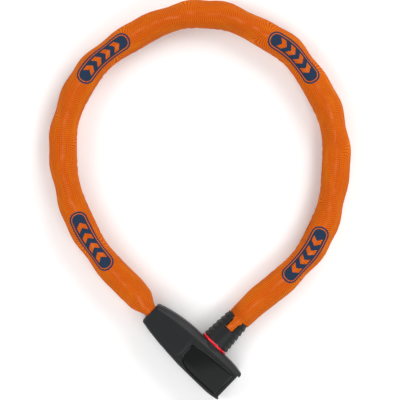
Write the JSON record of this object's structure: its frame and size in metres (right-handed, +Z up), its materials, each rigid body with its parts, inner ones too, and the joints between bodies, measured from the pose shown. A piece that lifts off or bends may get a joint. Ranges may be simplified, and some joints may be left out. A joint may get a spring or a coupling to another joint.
{
  "type": "bicycle chain lock",
  "caption": "Bicycle chain lock: square-link steel chain in a woven orange sleeve, black tapered key head, red-ringed plug that pulls out to open the loop.",
  "frame": {"origin": "below the middle of the closed lock's bounding box, on the surface that it lies on", "axes": "+Z up from the surface, through the closed loop; +X and +Y in the plane of the loop, with the lock head at -Y"},
  "size_m": [0.2542, 0.3354, 0.028],
  "materials": {
    "sleeve_fabric": "woven nylon sleeve, matt",
    "moulded_plastic": "fine satin moulding",
    "gloss_plastic": "polished",
    "red_plastic": "polished red",
    "hardened_steel": "zinc plated",
    "cylinder_brass": "machined"
  },
  "bodies": {
    "head": {"housing_upper_shell": "moulded_plastic", "housing_lower_shell": "moulded_plastic", "front_inlay": "gloss_plastic", "key_end_cap": "moulded_plastic", "chain_anchor_pin": "hardened_steel", "housing_screw_1": "hardened_steel", "housing_screw_2": "hardened_steel", "housing_screw_3": "hardened_steel", "lock_case": "hardened_steel", "cylinder_body": "cylinder_brass", "cylinder_retaining_pin": "hardened_steel"},
    "section_01": {"chain_link_01": "hardened_steel", "sleeve_neck": "sleeve_fabric", "chain_link_02": "hardened_steel", "sleeve_segment_01": "sleeve_fabric", "chain_link_03": "hardened_steel"},
    "section_02": {"chain_link_04": "hardened_steel", "sleeve_segment_02": "sleeve_fabric", "chain_link_05": "hardened_steel", "chain_link_06": "hardened_steel", "sleeve_segment_03": "sleeve_fabric"},
    "section_03": {"chain_link_07": "hardened_steel", "chain_link_08": "hardened_steel", "sleeve_segment_04": "sleeve_fabric", "chain_link_09": "hardened_steel"},
    "section_04": {"chain_link_10": "hardened_steel", "sleeve_segment_05": "sleeve_fabric", "chain_link_11": "hardened_steel", "chain_link_12": "hardened_steel", "sleeve_segment_06": "sleeve_fabric"},
    "section_05": {"chain_link_13": "hardened_steel", "chain_link_14": "hardened_steel", "sleeve_segment_07": "sleeve_fabric", "chain_link_15": "hardened_steel"},
    "section_06": {"chain_link_16": "hardened_steel", "sleeve_segment_08": "sleeve_fabric", "chain_link_17": "hardened_steel", "chain_link_18": "hardened_steel", "sleeve_segment_09": "sleeve_fabric"},
    "section_07": {"chain_link_19": "hardened_steel", "chain_link_20": "hardened_steel", "sleeve_segment_10": "sleeve_fabric", "chain_link_21": "hardened_steel"},
    "section_08": {"chain_link_22": "hardened_steel", "sleeve_segment_11": "sleeve_fabric", "chain_link_23": "hardened_steel", "sleeve_end": "sleeve_fabric"},
    "plug": {"plug_shank": "hardened_steel", "plug_collar": "moulded_plastic", "red_ring": "red_plastic", "plug_cross_pin": "hardened_steel"},
    "key_core": {"cylinder_core": "cylinder_brass", "cylinder_disc_1": "hardened_steel", "cylinder_disc_2": "hardened_steel", "cylinder_disc_3": "hardened_steel", "cylinder_disc_4": "hardened_steel", "drive_cam": "hardened_steel"},
    "bolt": {"locking_bolt": "hardened_steel"},
    "shutter": {"key_shutter": "gloss_plastic"}
  },
  "joints": [
    {"name": "chain_open", "type": "hinge", "parent": "head", "child": "section_01", "pos_m": [-0.03542, -0.10097, 0.014], "axis": [0, 0, -1], "range_deg": [0, 19.3], "deforming": ["sleeve_neck"]},
    {"name": "chain_hinge_04", "type": "hinge", "parent": "section_01", "child": "section_02", "pos_m": [-0.09507, -0.03109, 0.014], "axis": [0, 0, -1], "range_deg": [-5.4, 0.05], "deforming": ["sleeve_segment_02"]},
    {"name": "chain_hinge_07", "type": "hinge", "parent": "section_02", "child": "section_03", "pos_m": [-0.11477, 0.05738, 0.014], "axis": [0, 0, -1], "range_deg": [-17.25, 0.05], "deforming": ["sleeve_segment_03"]},
    {"name": "chain_hinge_10", "type": "hinge", "parent": "section_03", "child": "section_04", "pos_m": [-0.06501, 0.13145, 0.014], "axis": [0, 0, -1], "range_deg": [-11.84, 0.05], "deforming": ["sleeve_segment_05"]},
    {"name": "chain_hinge_13", "type": "hinge", "parent": "section_04", "child": "section_05", "pos_m": [0.02169, 0.15391, 0.014], "axis": [0, 0, -1], "range_deg": [-2.36, 0.05], "deforming": ["sleeve_segment_06"]},
    {"name": "chain_hinge_16", "type": "hinge", "parent": "section_05", "child": "section_06", "pos_m": [0.09452, 0.10079, 0.014], "axis": [0, 0, -1], "range_deg": [-0.05, 5], "deforming": ["sleeve_segment_08"]},
    {"name": "chain_hinge_19", "type": "hinge", "parent": "section_06", "child": "section_07", "pos_m": [0.11328, 0.01299, 0.014], "axis": [0, 0, -1], "range_deg": [-0.05, 9.09], "deforming": ["sleeve_segment_09"]},
    {"name": "chain_hinge_22", "type": "hinge", "parent": "section_07", "child": "section_08", "pos_m": [0.07196, -0.06688, 0.014], "axis": [0, 0, -1], "range_deg": [-0.05, 5.5], "deforming": ["sleeve_segment_11"]},
    {"name": "plug_hinge", "type": "hinge", "parent": "section_08", "child": "plug", "pos_m": [0.02587, -0.10733, 0.014], "axis": [0, 0, -1], "range_deg": [-2.15, 0.05], "deforming": ["sleeve_end"]},
    {"name": "key_turn", "type": "hinge", "parent": "head", "child": "key_core", "pos_m": [0.01458, -0.14925, 0.014], "axis": [0.7193, -0.6947, 0], "range_deg": [0, 90]},
    {"name": "bolt_slide", "type": "slide", "parent": "head", "child": "bolt", "axis": [-0.7193, 0.6947, 0], "range_m": [0, 0.0025]},
    {"name": "shutter_swing", "type": "hinge", "parent": "head", "child": "shutter", "pos_m": [0.02413, -0.15375, 0.014], "axis": [0.7193, -0.6947, 0], "range_deg": [0, 60]}
  ],
  "couplings": [
    {"joint": "chain_hinge_04", "follows": "chain_open", "ratio": -0.2772},
    {"joint": "chain_hinge_07", "follows": "chain_open", "ratio": -0.891},
    {"joint": "chain_hinge_10", "follows": "chain_open", "ratio": -0.6109},
    {"joint": "chain_hinge_13", "follows": "chain_open", "ratio": -0.1197},
    {"joint": "chain_hinge_16", "follows": "chain_open", "ratio": 0.2565},
    {"joint": "chain_hinge_19", "follows": "chain_open", "ratio": 0.4686},
    {"joint": "chain_hinge_22", "follows": "chain_open", "ratio": 0.2824},
    {"joint": "plug_hinge", "follows": "chain_open", "ratio": -0.1087},
    {"joint": "bolt_slide", "follows": "key_turn", "m_per_rad": 0.0015279}
  ]
}
